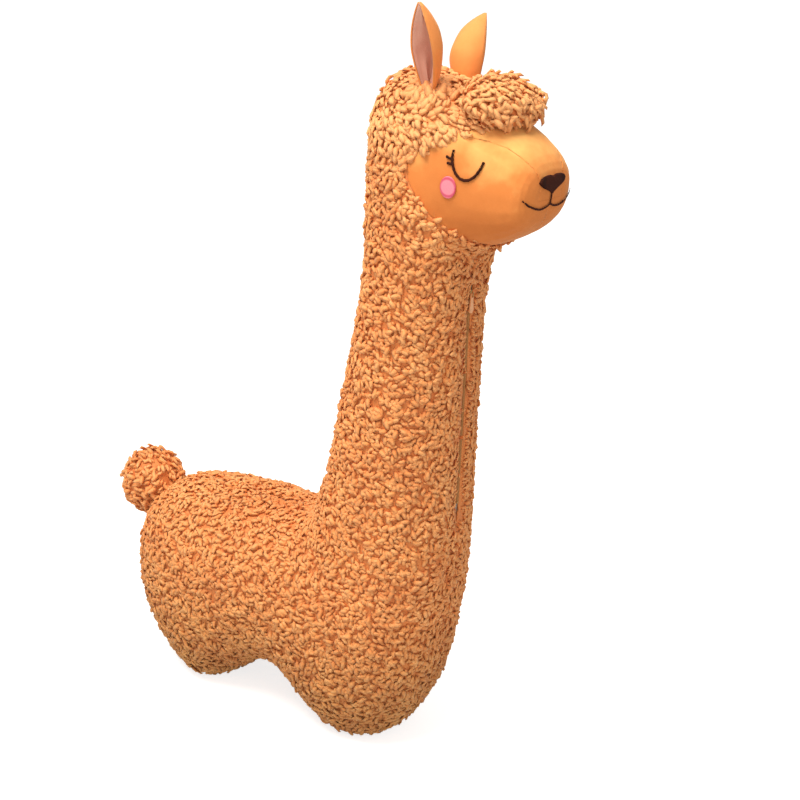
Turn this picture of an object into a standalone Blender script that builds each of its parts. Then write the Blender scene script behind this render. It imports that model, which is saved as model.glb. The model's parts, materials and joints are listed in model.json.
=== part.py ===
"""Plush alpaca with a curly coat, velour face, folded ears, pompon tail and a zip down the neck.

Metres, +Z up. The alpaca faces +X, its right side is at -Y and its soles stand at Z = 0.
"""

import math

import bmesh
import bpy
from mathutils import Matrix, Vector
from mathutils.bvhtree import BVHTree

# Body, seen from the side
RUMP_X = -0.257
BODY_LENGTH = 0.488
BODY_WIDTH = 0.208
BACK_HEIGHT = 0.288
ARCH_HEIGHT = 0.062
SOLE_PRESS = 0.014

# Neck
NECK_LEAN = 0.032
NECK_DEPTH = 0.134
NECK_WIDTH = 0.174
NAPE_STEP = 0.008
THROAT_HEIGHT = 0.712

# Head
HEAD_LENGTH = 0.254
HEAD_HEIGHT = 0.218
HEAD_WIDTH = 0.166
HEAD_TURN = math.radians(8.5)
TURN_SPAN = 0.065
TURN_TOP = 0.020
TURN_BANDS = 8

# Cloth and clearances
PANEL_THICK = 0.005
SEAM_GAP = 0.0003
FILLING_GAP = 0.0006
RING_POINTS = 24
RINGS_PER_SPAN = 2
ROUNDNESS = 2.6

# Tail and forelock
TAIL_DEPTH = 0.078
TAIL_WIDTH = 0.080
TAIL_HEIGHT = 0.090
TAIL_SINK = 0.010
FORELOCK_LENGTH = 0.088
FORELOCK_WIDTH = 0.130
FORELOCK_HEIGHT = 0.058
FORELOCK_TILT = math.radians(20)

# Ears
EAR_LENGTH = 0.110
EAR_WIDTH = 0.086
EAR_CLOTH = 0.0016
LINING_SHARE = 0.80
EAR_RIGHT_OUT = 0.061
EAR_LEFT_OUT = 0.038
EAR_RIGHT_SPLAY = math.radians(17)
EAR_LEFT_SPLAY = math.radians(25)
EAR_RIGHT_SWEEP = math.radians(1.5)
EAR_LEFT_SWEEP = math.radians(17)
EAR_RIGHT_AIM = math.radians(24)
EAR_LEFT_AIM = math.radians(-17)
EAR_RIGHT_CURL = 0.001
EAR_LEFT_CURL = 0.016
EAR_FOLD = math.radians(275)
EAR_ROOT = 0.024
EAR_RIGHT_SINK = 0.001
EAR_LEFT_SINK = 0.024

# Embroidery
EYE_LENGTH = 0.0410
EYE_DROP = 0.0300
LASH_LENGTHS = (0.0085, 0.0075)
THREAD_RADIUS = 0.0024
THREAD_SINK = 0.0010
PATCH_THICK = 0.0012
NOSE_WIDTH = 0.050
NOSE_HEIGHT = 0.0205
NOSE_TILT = math.radians(26)
SMILE_REACH = math.radians(42.5)
SMILE_STEM = 0.018
CHEEK_LENGTH = 0.021
CHEEK_HEIGHT = 0.027

# Zip
ZIP_TOP = 0.6575
ZIP_LENGTH = 0.285
ZIP_LEAD = 0.0018
SLOT_WIDTH = 0.009
SLOT_OVERRUN = 0.014
TAPE_WIDTH = 0.0026
TAPE_THICK = 0.0012
TAPE_DEPTH = 0.0020
COIL_WIDTH = 0.0013
COIL_THICK = 0.0022
COIL_DEPTH = 0.0014
SLIDER_LENGTH = 0.009
SLIDER_WIDTH = 0.0062
SLIDER_PLATE = 0.0013
SLIDER_LIP = 0.0006
BAIL_LENGTH = 0.0066
BAIL_WIDTH = 0.0012
BAIL_RISE = 0.0038
BAIL_BAR = 0.0010
BAIL_ROOT = 0.0004
BAIL_CHAMFER = 0.0006
STOP_LENGTH = 0.0027
STOP_RISE = 0.0007
PULLER_LENGTH = 0.026
PULLER_WIDTH = 0.010
PULLER_THICK = 0.0018
PULLER_NECK = 0.0062
PULLER_CHAMFER = 0.0013
PULLER_EYE = 0.0041
PULLER_EYE_WIDTH = 0.0028

CHEST_X = RUMP_X + BODY_LENGTH
NAPE_X = CHEST_X - NECK_LEAN - NECK_DEPTH - NAPE_STEP
SHOULDER_HEIGHT = BACK_HEIGHT * 0.89
SIDES = {"right": -1, "left": 1}
EAR_POSES = {
    -1: (EAR_RIGHT_OUT, EAR_RIGHT_SINK, EAR_RIGHT_SPLAY, EAR_RIGHT_SWEEP, EAR_RIGHT_AIM),
    1: (EAR_LEFT_OUT, EAR_LEFT_SINK, EAR_LEFT_SPLAY, EAR_LEFT_SWEEP, EAR_LEFT_AIM),
}


def body(along, up):
    """A point of the body in side view: 0 at the rump and the floor, 1 at the chest and the back."""
    return Vector((RUMP_X + BODY_LENGTH * along, BACK_HEIGHT * up))


def neck_front(up):
    """The straight front of the neck: 0 at the shoulder, 1 at the throat."""
    return Vector((CHEST_X - NECK_LEAN * up, SHOULDER_HEIGHT + (THROAT_HEIGHT - SHOULDER_HEIGHT) * up))


def neck_back(up, depth):
    """The back of the neck, its depth given in shares of the neck's own depth under the head."""
    return neck_front(up) - Vector((NECK_DEPTH * depth, 0))


def head(along, up):
    """A point of the head in side view: 0 at the nape and the throat, 1 at the nose and the crown."""
    return Vector((NAPE_X + HEAD_LENGTH * along, THROAT_HEIGHT + HEAD_HEIGHT * up))


def form_sections():
    """The sections of the stuffed form, each with its upper point, its lower point and half its width."""
    half_body = BODY_WIDTH / 2
    half_neck = NECK_WIDTH / 2
    half_head = HEAD_WIDTH / 2
    arch = ARCH_HEIGHT / BACK_HEIGHT
    foot = -SOLE_PRESS / BACK_HEIGHT
    return (
        (body(0.004, 0.60), body(0.008, 0.44), 0.16 * half_body),
        (body(0.017, 0.72), body(0.024, 0.37), 0.40 * half_body),
        (body(0.048, 0.835), body(0.061, 0.27), 0.62 * half_body),
        (body(0.104, 0.92), body(0.109, 0.155), 0.79 * half_body),
        (body(0.175, 0.965), body(0.175, 0.05), 0.91 * half_body),
        (body(0.257, 0.987), body(0.280, foot), 0.975 * half_body),
        (body(0.334, 1.0), body(0.375, 0.07), half_body),
        (body(0.408, 1.014), body(0.446, 0.82 * arch), half_body),
        (body(0.474, 1.028), body(0.512, arch), half_body),
        (body(0.524, 1.046), body(0.581, 0.80 * arch), half_body),
        (body(0.554, 1.069), body(0.665, 0.055), half_body),
        (body(0.571, 1.092), body(0.782, foot), half_body),
        (body(0.583, 1.119), body(0.892, 0.06), 0.99 * half_body),
        (body(0.592, 1.156), body(0.955, 0.26), 0.98 * half_body),
        (body(0.600, 1.202), body(0.981, 0.47), 0.965 * half_body),
        (neck_back(0.279, 1.324), neck_front(0.0), 0.92 * half_body),
        (neck_back(0.389, 1.255), neck_front(0.269), 1.06 * half_neck),
        (neck_back(0.591, 1.147), neck_front(0.572), 1.005 * half_neck),
        (neck_back(0.843, 1.005), neck_front(0.838), 0.965 * half_neck),
        (head(0.040, 0.140), head(0.595, 0.012), half_head),
        (head(0.006, 0.606), head(0.625, 0.046), half_head),
        (head(0.048, 0.918), head(0.655, 0.070), 0.955 * half_head),
        (head(0.330, 0.972), head(0.700, 0.096), 0.89 * half_head),
        (head(0.606, 0.857), head(0.765, 0.134), 0.83 * half_head),
        (head(0.807, 0.767), head(0.845, 0.190), 0.76 * half_head),
        (head(0.912, 0.682), head(0.913, 0.255), 0.69 * half_head),
        (head(0.955, 0.614), head(0.951, 0.320), 0.57 * half_head),
        (head(0.971, 0.552), head(0.969, 0.382), 0.39 * half_head),
    )


def between(before, first, second, after, share):
    """A point on the smooth curve from the first to the second value, led by their neighbours."""
    slope_in = (second - before) / 2
    slope_out = (after - first) / 2
    square = share * share
    cube = square * share
    return (
        first * (2 * cube - 3 * square + 1)
        + slope_in * (cube - 2 * square + share)
        + second * (3 * square - 2 * cube)
        + slope_out * (cube - square)
    )


def smooth_sections():
    """The form's sections with more of them set in between along smooth curves."""
    sections = form_sections()
    last = len(sections) - 1
    result = []
    for index in range(last):
        near = [sections[max(0, min(last, index + step))] for step in (-1, 0, 1, 2)]
        for step in range(RINGS_PER_SPAN):
            share = step / RINGS_PER_SPAN
            result.append([between(*column, share) for column in zip(*near)])
    result.append(list(sections[last]))
    return result


def squared(value):
    """Bends the sine or cosine of an ellipse towards a fuller, pillow-like section."""
    return math.copysign(abs(value) ** (2 / ROUNDNESS), value)


def ring_of(upper, lower, half_width):
    middle = (upper + lower) / 2
    arm = (upper - lower) / 2
    points = []
    for index in range(RING_POINTS):
        turn = 2 * math.pi * index / RING_POINTS
        place = middle + arm * squared(math.cos(turn))
        points.append(Vector((place.x, half_width * squared(math.sin(turn)), max(place.y, 0))))
    return points


def loft(rings, tips):
    """A closed mesh over rings of equally many points, with a pole at each end."""
    work = bmesh.new()
    loops = [[work.verts.new(point) for point in ring] for ring in rings]
    count = len(loops[0])
    for lower, upper in zip(loops, loops[1:]):
        for index in range(count):
            after = (index + 1) % count
            work.faces.new((lower[index], lower[after], upper[after], upper[index]))
    for loop, tip in ((loops[0], tips[0]), (loops[-1], tips[1])):
        pole = work.verts.new(tip)
        for index in range(count):
            work.faces.new((loop[index], loop[(index + 1) % count], pole))
    bmesh.ops.recalc_face_normals(work, faces=work.faces)
    return work


def object_from(work, name, collection):
    """Turns a bmesh into an object of the collection and frees the bmesh."""
    mesh = bpy.data.meshes.new(name)
    work.to_mesh(mesh)
    work.free()
    obj = bpy.data.objects.new(name, mesh)
    collection.objects.link(obj)
    return obj


def material(name, colour, roughness, metallic=0.0):
    made = bpy.data.materials.new(name)
    made.use_nodes = True
    shader = made.node_tree.nodes["Principled BSDF"]
    shader.inputs["Base Color"].default_value = (*colour, 1)
    shader.inputs["Roughness"].default_value = roughness
    shader.inputs["Metallic"].default_value = metallic
    return made


def prism(name, outline, frame, low, high, collection):
    """An outline in the frame's own X and Y, drawn out along its Z from low to high."""
    work = bmesh.new()
    count = len(outline)
    floor = [work.verts.new(frame @ Vector((x, y, low))) for x, y in outline]
    roof = [work.verts.new(frame @ Vector((x, y, high))) for x, y in outline]
    work.faces.new(floor)
    work.faces.new(roof)
    for index in range(count):
        after = (index + 1) % count
        work.faces.new((floor[index], floor[after], roof[after], roof[index]))
    bmesh.ops.recalc_face_normals(work, faces=work.faces)
    return object_from(work, name, collection)


def box(name, low, high, collection, frame=None):
    """A block between two corners, in the world or in a frame."""
    outline = ((low[0], low[1]), (high[0], low[1]), (high[0], high[1]), (low[0], high[1]))
    return prism(name, outline, frame or Matrix.Identity(4), low[2], high[2], collection)


def grown(outline, amount):
    """The outline with each side moved outwards by the amount."""
    points = [Vector(point) for point in outline]
    area = sum(a.x * b.y - b.x * a.y for a, b in zip(points, points[1:] + points[:1]))
    turn = 1 if area > 0 else -1
    result = []
    for index, point in enumerate(points):
        into = (point - points[index - 1]).normalized()
        out = (points[(index + 1) % len(points)] - point).normalized()
        normal = (Vector((into.y, -into.x)) + Vector((out.y, -out.x))) * turn
        reach = 2 * amount / max(normal.length_squared, 0.2)
        result.append(point + normal * reach)
    return result


def boolean(obj, cutter, operation):
    modifier = obj.modifiers.new(f"{operation.lower()} {cutter.name}", "BOOLEAN")
    modifier.object = cutter
    modifier.operation = operation
    modifier.solver = "EXACT"


def displaced(name, source, distance, collection):
    """A copy of a form with its skin moved out by the distance, or in where it is negative."""
    obj = bpy.data.objects.new(name, source.data)
    collection.objects.link(obj)
    modifier = obj.modifiers.new("skin offset", "DISPLACE")
    modifier.strength = distance
    modifier.mid_level = 0
    modifier.direction = "NORMAL"
    return obj


def panel(name, form, thick, collection):
    """A hollow copy of the form, as thick as the cloth, which cutters then trim to a panel."""
    obj = bpy.data.objects.new(name, form.data)
    collection.objects.link(obj)
    modifier = obj.modifiers.new("cloth", "SOLIDIFY")
    modifier.thickness = thick
    modifier.offset = -1
    return obj


def side_frame():
    """A frame whose X and Y are the side view's X and Z."""
    return Matrix(((1, 0, 0, 0), (0, 0, 1, 0), (0, 1, 0, 0), (0, 0, 0, 1)))


def half_space(name, side, collection):
    """The block that keeps one half of the form, clear of the centre seam, in bands where the neck turns."""
    reach = 1.5
    inner = SEAM_GAP / 2
    low = inner if side > 0 else -reach
    high = reach if side > 0 else -inner
    block = box(name, (-reach, low, -reach), (reach, high, reach), collection)
    work = bmesh.new()
    work.from_mesh(block.data)
    for step in range(TURN_BANDS + 1):
        level = Vector((0, 0, THROAT_HEIGHT + TURN_TOP - TURN_SPAN * step / TURN_BANDS))
        everything = [*work.verts, *work.edges, *work.faces]
        bmesh.ops.bisect_plane(work, geom=everything, plane_co=level, plane_no=(0, 0, 1))
    work.to_mesh(block.data)
    work.free()
    return block


def face_outline():
    """The edge of the velour in side view: hood edge, rear point and jaw, closed in front of the nose."""
    return (
        head(0.352, 0.505),
        head(0.359, 0.560),
        head(0.390, 0.600),
        head(0.447, 0.645),
        head(0.541, 0.725),
        head(0.646, 0.783),
        head(0.760, 0.818),
        head(1.200, 0.930),
        head(1.200, -0.133),
        head(0.860, -0.100),
        head(0.782, 0.105),
        head(0.717, 0.150),
        head(0.641, 0.179),
        head(0.553, 0.225),
        head(0.479, 0.294),
        head(0.419, 0.364),
        head(0.371, 0.435),
    )


def bridge_outline():
    """The gusset over forehead and nose in top view, from the forelock to the nose tip."""
    half = []
    for along, width in ((0.30, 0.84), (0.62, 0.70), (0.72, 0.61), (0.81, 0.51), (0.90, 0.43), (0.99, 0.25)):
        half.append((head(along, 0).x, HEAD_WIDTH / 2 * width))
    return half + [(x, -y) for x, y in reversed(half)]


def build_form(guides):
    """The stuffed form that every panel and the filling take their shape from."""
    sections = smooth_sections()
    rings = [ring_of(*section) for section in sections]
    tips = []
    for along, point in ((-0.003, (sections[0][0] + sections[0][1]) / 2), (0.0, head(0.974, 0.466))):
        tips.append(Vector((point.x + along, 0, point.y)))
    work = loft(rings, tips)
    bmesh.ops.triangulate(work, faces=work.faces)
    return object_from(work, "stuffed_form", guides)


def build_coat(form, parts, guides, cloth):
    outline = prism("face_opening", face_outline(), side_frame(), -0.2, 0.2, guides)
    slot = box(
        "zip_slot",
        (-SLOT_WIDTH / 2, -SLOT_OVERRUN, -2 * PANEL_THICK),
        (SLOT_WIDTH / 2, ZIP_LENGTH + SLOT_OVERRUN, PANEL_THICK),
        guides,
        zip_frame(),
    )
    for side_name, side in SIDES.items():
        coat = panel(f"fleece_{side_name}", form, PANEL_THICK, parts)
        boolean(coat, half_space(f"coat_half_{side_name}", side, guides), "INTERSECT")
        boolean(coat, outline, "DIFFERENCE")
        boolean(coat, slot, "DIFFERENCE")
        coat.data.materials.append(cloth)


def build_face(form, parts, guides, cloth):
    inside = grown(face_outline(), -SEAM_GAP)
    outline = prism("face_edge", inside, side_frame(), -0.2, 0.2, guides)
    frame = Matrix.Identity(4)
    low = head(0.000, 0.455).y
    high = head(0.000, 1.174).y
    wedge = prism("bridge_cut", grown(bridge_outline(), SEAM_GAP / 2), frame, low - SEAM_GAP, high, guides)
    inner = prism("bridge_edge", grown(bridge_outline(), -SEAM_GAP / 2), frame, low, high, guides)
    for side_name, side in SIDES.items():
        cheek = panel(f"face_{side_name}", form, PANEL_THICK, parts)
        boolean(cheek, half_space(f"face_half_{side_name}", side, guides), "INTERSECT")
        boolean(cheek, outline, "INTERSECT")
        boolean(cheek, wedge, "DIFFERENCE")
        cheek.data.materials.append(cloth)
    bridge = panel("face_bridge", form, PANEL_THICK, parts)
    boolean(bridge, outline, "INTERSECT")
    boolean(bridge, inner, "INTERSECT")
    bridge.data.materials.append(cloth)


def build_stuffing(form, parts, guides, filling):
    """The filling inside the panels, with room for the zip behind the slot."""
    obj = displaced("stuffing", form, -(PANEL_THICK + FILLING_GAP), parts)
    room = box(
        "zip_room",
        (-SLOT_WIDTH / 2, -SLOT_OVERRUN, -(COIL_DEPTH + COIL_THICK + PANEL_THICK)),
        (SLOT_WIDTH / 2, ZIP_LENGTH + SLOT_OVERRUN, PANEL_THICK),
        guides,
        zip_frame(),
    )
    boolean(obj, room, "DIFFERENCE")
    obj.data.materials.append(filling)


def ellipsoid(name, centre, sizes, tilt, collection):
    """A stuffed pad as an ellipsoid of the given full sizes, tilted nose-down by the tilt."""
    work = bmesh.new()
    bmesh.ops.create_uvsphere(work, u_segments=24, v_segments=14, radius=0.5)
    frame = Matrix.Translation(centre) @ Matrix.Rotation(tilt, 4, "Y") @ Matrix.Diagonal((*sizes, 1))
    bmesh.ops.transform(work, matrix=frame, verts=work.verts)
    return object_from(work, name, collection)


def build_forelock(seat, parts, cloth):
    place = head(0.638, 0.893)
    sizes = (FORELOCK_LENGTH, FORELOCK_WIDTH, FORELOCK_HEIGHT)
    obj = ellipsoid("forelock", Vector((place.x, 0, place.y)), sizes, FORELOCK_TILT, parts)
    boolean(obj, seat, "DIFFERENCE")
    obj.data.materials.append(cloth)


def build_tail(seat, parts, cloth):
    place = body(0.040, 0.845)
    centre = Vector((place.x - TAIL_DEPTH / 2 + TAIL_SINK, 0, place.y))
    obj = ellipsoid("tail", centre, (TAIL_DEPTH, TAIL_WIDTH, TAIL_HEIGHT), 0, parts)
    boolean(obj, seat, "DIFFERENCE")
    obj.data.materials.append(cloth)


def ear_frame(side):
    """The ear's own frame: X across the leaf, Y along it, Z out of its open side."""
    place = head(0.375, 0.933)
    out, sink, splay, sweep, aim = EAR_POSES[side]
    along = Vector((-math.tan(sweep), side * math.tan(splay), 1)).normalized()
    origin = Vector((place.x, side * out, place.y)) - along * sink
    facing = Vector((-math.tan(aim), side, 0))
    facing = (facing - along * facing.dot(along)).normalized()
    across = along.cross(facing)
    return Matrix.Translation(origin) @ Matrix((across, along, facing)).transposed().to_4x4()


def leaf_half_width(share):
    """Half the ear's width from its root at 0 to its tip at 1."""
    root = 0.62 + 0.38 * math.sin(min(share / 0.50, 1) * math.pi / 2)
    tip = max(0, 1 - max(0, (share - 0.50) / 0.51) ** 2.2)
    return EAR_WIDTH / 2 * root * tip


def build_ear_layer(name, side, near, far, share_of_width, seat, parts, cloth):
    """One cloth layer of the folded ear, lying between two distances outside its middle surface."""
    frame = ear_frame(side)
    curl = EAR_LEFT_CURL if side > 0 else EAR_RIGHT_CURL
    steps = 14
    points = 8
    rings = []
    used = steps if share_of_width == 1 else steps - 1
    for step in range(used + 1):
        half = leaf_half_width(step / used) * share_of_width
        height = step / steps
        reach = -EAR_ROOT + (EAR_LENGTH + EAR_ROOT) * height
        bend = EAR_FOLD * (1 - 0.45 * height) / 2
        radius = max(half, 0.002) / bend
        middle = leaf_half_width(height) / bend + curl * math.sin(math.pi * height)
        ring = []
        for distance, order in ((far, range(points)), (near, reversed(range(points)))):
            for index in order:
                angle = bend * (2 * index / (points - 1) - 1)
                grown_radius = radius + distance
                x = math.sin(angle) * grown_radius
                z = radius - math.cos(angle) * grown_radius - middle
                ring.append(frame @ Vector((x, reach, z)))
        rings.append(ring)
    tips = [sum(ring, Vector()) / len(ring) for ring in (rings[0], rings[-1])]
    tips[1] = tips[1] + (frame.to_3x3() @ Vector((0, 0.001, 0)))
    obj = object_from(loft(rings, tips), name, parts)
    boolean(obj, seat, "DIFFERENCE")
    obj.data.materials.append(cloth)


def build_ears(seat, parts, back_cloth, lining_cloth):
    """Both ears, each of an outer layer and a narrower lining inside its fold."""
    inner = SEAM_GAP / 2
    outer = inner + EAR_CLOTH
    for name, side in SIDES.items():
        build_ear_layer(f"ear_{name}_back", side, inner, outer, 1.0, seat, parts, back_cloth)
        build_ear_layer(f"ear_{name}_lining", side, -outer, -inner, LINING_SHARE, seat, parts, lining_cloth)


def form_tree(form):
    return BVHTree.FromPolygons([v.co for v in form.data.vertices], [p.vertices for p in form.data.polygons])


def on_side(tree, point, side):
    """The point of the skin at a place of the side view, with the skin's normal there."""
    start = Vector((point.x, side, point.y))
    hit, normal, _, _ = tree.ray_cast(start, Vector((0, -side, 0)))
    return hit, normal


def thread_line(name, places, collection):
    """A satin-stitch cord through places of the skin, each with its normal, sunk a little into it."""
    curve = bpy.data.curves.new(name, "CURVE")
    curve.dimensions = "3D"
    curve.bevel_depth = THREAD_RADIUS
    curve.bevel_resolution = 1
    curve.use_fill_caps = True
    spline = curve.splines.new("POLY")
    spline.points.add(len(places) - 1)
    for point, (place, normal) in zip(spline.points, places):
        point.co = (*(place - normal * THREAD_SINK), 1)
    guide = bpy.data.objects.new(name, curve)
    collection.objects.link(guide)
    graph = bpy.context.evaluated_depsgraph_get()
    mesh = bpy.data.meshes.new_from_object(guide.evaluated_get(graph))
    bpy.data.objects.remove(guide)
    work = bmesh.new()
    work.from_mesh(mesh)
    bmesh.ops.remove_doubles(work, verts=work.verts, dist=0.00001)
    bmesh.ops.recalc_face_normals(work, faces=work.faces)
    return object_from(work, name, collection)


def arc_points(centre, radii, start, end, count):
    """Points of an elliptical arc in side view."""
    points = []
    for index in range(count):
        angle = start + (end - start) * index / (count - 1)
        points.append(Vector((centre.x + radii[0] * math.cos(angle), centre.y + radii[1] * math.sin(angle))))
    return points


def build_eyes(tree, seat, parts, guides, thread):
    """The closed eyes: a hanging arc with two lashes at its rear end."""
    centre = head(0.665, 0.652)
    radii = (EYE_LENGTH / 2, EYE_DROP)
    lashes = ((197, LASH_LENGTHS[0], 8), (210, LASH_LENGTHS[1], 4))
    for side_name, side in SIDES.items():
        arc = arc_points(centre, radii, math.radians(176), math.radians(352), 12)
        lid = thread_line(f"eye_{side_name}", [on_side(tree, point, side) for point in arc], parts)
        for number, (start, length, rise) in enumerate(lashes):
            root = arc_points(centre, radii, math.radians(start), math.radians(start), 2)[0]
            lift = Vector((-math.cos(math.radians(rise)), math.sin(math.radians(rise)))) * length
            ends = [root + lift * share for share in (-0.1, 0.5, 1)]
            places = [on_side(tree, point, side) for point in ends]
            boolean(lid, thread_line(f"lash_{side_name}_{number}", places, guides), "UNION")
        boolean(lid, seat, "DIFFERENCE")
        lid.data.materials.append(thread)


def build_cheeks(form, parts, guides, thread):
    """An oval embroidered patch under each eye, lying on the velour."""
    centre = head(0.590, 0.456)
    outline = arc_points(centre, (CHEEK_LENGTH / 2, CHEEK_HEIGHT / 2), 0, 2 * math.pi * 19 / 20, 20)
    for side_name, side in SIDES.items():
        low, high = (0, 0.2) if side > 0 else (-0.2, 0)
        cutter = prism(f"cheek_edge_{side_name}", outline, side_frame(), low, high, guides)
        patch(f"cheek_{side_name}", form, cutter, parts, guides, thread)


def patch(name, form, cutter, parts, guides, thread):
    """The part of a thin layer over the form that lies inside the cutter."""
    obj = displaced(name, form, SEAM_GAP + PATCH_THICK, parts)
    under = bpy.data.objects.get("patch_seat") or displaced("patch_seat", form, SEAM_GAP, guides)
    boolean(obj, under, "DIFFERENCE")
    boolean(obj, cutter, "INTERSECT")
    obj.data = obj.data.copy()
    obj.data.materials.clear()
    obj.data.materials.append(thread)


def heart_outline():
    """A heart in its own plane: X across, Y up, its point at the bottom."""
    points = []
    for index in range(28):
        turn = 2 * math.pi * index / 28
        x = math.sin(turn) ** 3
        y = (13 * math.cos(turn) - 5 * math.cos(2 * turn) - 2 * math.cos(3 * turn) - math.cos(4 * turn)) / 15
        points.append((x * NOSE_WIDTH / 2, y * NOSE_HEIGHT / 2))
    return points


def nose_frame():
    """The plane of the nose: X across, Y up, Z out of the muzzle."""
    place = head(0.870, 0.488)
    outwards = Vector((math.cos(NOSE_TILT), 0, math.sin(NOSE_TILT)))
    across = Vector((0, 1, 0))
    upwards = outwards.cross(across)
    frame = Matrix((across, upwards, outwards)).transposed().to_4x4()
    frame.translation = Vector((place.x, 0, place.y))
    return frame


def build_nose(form, parts, guides, thread):
    """The heart-shaped nose on the front of the muzzle."""
    cutter = prism("nose_edge", heart_outline(), nose_frame(), -0.03, 0.06, guides)
    patch("nose", form, cutter, parts, guides, thread)


def build_mouth(tree, seat, parts, guides, thread):
    """The smile: one line from side to side and the short line up to the nose."""
    middle_height = head(0.000, 0.429).y
    sag = middle_height - head(0.000, 0.408).y
    rise = head(0.000, 0.473).y - middle_height
    slope = -2 * sag - 2 * math.sqrt(sag * (sag + rise))
    inside = head(0.730, 0.128).x
    places = []
    for index in range(-10, 11):
        share = index / 10
        height = middle_height + slope * abs(share) + (rise - slope) * share**2
        aim = Vector((math.cos(share * SMILE_REACH), math.sin(share * SMILE_REACH), 0))
        places.append(tree.ray_cast(Vector((inside, 0, height)), aim)[:2])
    smile = thread_line("mouth", places, parts)
    stem = []
    for share in (-0.1, 0.45, 1):
        start = Vector((inside, 0, middle_height + SMILE_STEM * share))
        stem.append(tree.ray_cast(start, Vector((1, 0, 0)))[:2])
    boolean(smile, thread_line("mouth_stem", stem, guides), "UNION")
    boolean(smile, seat, "DIFFERENCE")
    room = prism("nose_room", grown(heart_outline(), SEAM_GAP), nose_frame(), -0.03, 0.06, guides)
    boolean(smile, room, "DIFFERENCE")
    smile.data.materials.append(thread)


def zip_frame():
    """The zip's frame: X across, Y down the neck from the slider, Z out of the coat."""
    low = neck_front(0)
    high = neck_front(1)
    down = (low - high).normalized()
    start = high + down * ((high.y - ZIP_TOP) / -down.y)
    along = Vector((down.x, 0, down.y))
    across = Vector((0, -1, 0))
    frame = Matrix((across, along, across.cross(along))).transposed().to_4x4()
    frame.translation = Vector((start.x, 0, start.y))
    return frame


def build_zip_sides(parts, guides, tape):
    """Each half of the closed zip: a folded tape edge with its row of teeth."""
    frame = zip_frame()
    start = -SLIDER_LENGTH / 2 - ZIP_LEAD
    inner = SEAM_GAP / 2
    for side_name, side in SIDES.items():
        turn = -side
        teeth_out = inner + COIL_WIDTH
        tape_out = teeth_out + TAPE_WIDTH
        low, high = sorted((turn * inner, turn * (teeth_out + 0.0001)))
        obj = box(
            f"zip_side_{side_name}",
            (low, start, -COIL_DEPTH - COIL_THICK),
            (high, ZIP_LENGTH, -COIL_DEPTH),
            parts,
            frame,
        )
        low, high = sorted((turn * teeth_out, turn * tape_out))
        edge = box(
            f"tape_{side_name}",
            (low, start - STOP_LENGTH, -TAPE_DEPTH - TAPE_THICK),
            (high, ZIP_LENGTH + STOP_LENGTH, -TAPE_DEPTH),
            guides,
            frame,
        )
        boolean(obj, edge, "UNION")
        obj.data.materials.append(tape)


def build_zip_stops(parts, metal):
    frame = zip_frame()
    inner = SEAM_GAP / 2
    start = -SLIDER_LENGTH / 2 - ZIP_LEAD - SEAM_GAP
    low = -COIL_DEPTH - COIL_THICK
    high = low + COIL_THICK + STOP_RISE
    for side_name, side in SIDES.items():
        left, right = sorted((-side * inner, -side * (inner + COIL_WIDTH)))
        corner = (left, start - STOP_LENGTH, low)
        stop = box(f"zip_top_stop_{side_name}", corner, (right, start, high), parts, frame)
        stop.data.materials.append(metal)
    end = ZIP_LENGTH + SEAM_GAP
    half = inner + COIL_WIDTH
    stop = box("zip_bottom_stop", (-half, end, low), (half, end + STOP_LENGTH, high), parts, frame)
    stop.data.materials.append(metal)


def build_slider(parts, guides, metal):
    """The slider: a plate with two lips over the teeth and a bail on top."""
    frame = zip_frame()
    under = -COIL_DEPTH + SEAM_GAP
    top = under + SLIDER_PLATE
    half = SLIDER_WIDTH / 2
    lip = half - (SEAM_GAP / 2 + COIL_WIDTH + SEAM_GAP)
    foot = under - SLIDER_LIP
    section = (
        (-half, top),
        (-half, foot),
        (-half + lip, foot),
        (-half + lip, under),
        (half - lip, under),
        (half - lip, foot),
        (half, foot),
        (half, top),
    )
    slider = prism("zip_slider", section, side_frame(), -SLIDER_LENGTH / 2, SLIDER_LENGTH / 2, parts)
    reach = BAIL_LENGTH / 2
    root = top - BAIL_ROOT
    roof = top + BAIL_RISE
    bail = (
        (-reach, root),
        (-reach + BAIL_BAR, root),
        (-reach + BAIL_BAR, roof - BAIL_BAR),
        (reach - BAIL_BAR, roof - BAIL_BAR),
        (reach - BAIL_BAR, root),
        (reach, root),
        (reach, roof - BAIL_CHAMFER),
        (reach - BAIL_CHAMFER, roof),
        (-reach + BAIL_CHAMFER, roof),
        (-reach, roof - BAIL_CHAMFER),
    )
    standing = Matrix(((0, 0, 1, 0), (1, 0, 0, 0), (0, 1, 0, 0), (0, 0, 0, 1)))
    arch = prism("bail", bail, standing, -BAIL_WIDTH / 2, BAIL_WIDTH / 2, guides)
    slider.matrix_world = frame
    arch.matrix_world = frame
    boolean(slider, arch, "UNION")
    slider.data.materials.append(metal)


def puller_pivot():
    """The height of the puller's hinge over the coat, midway inside the bail."""
    top = -COIL_DEPTH + SEAM_GAP + SLIDER_PLATE
    return top + (BAIL_RISE - BAIL_BAR) / 2


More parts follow.
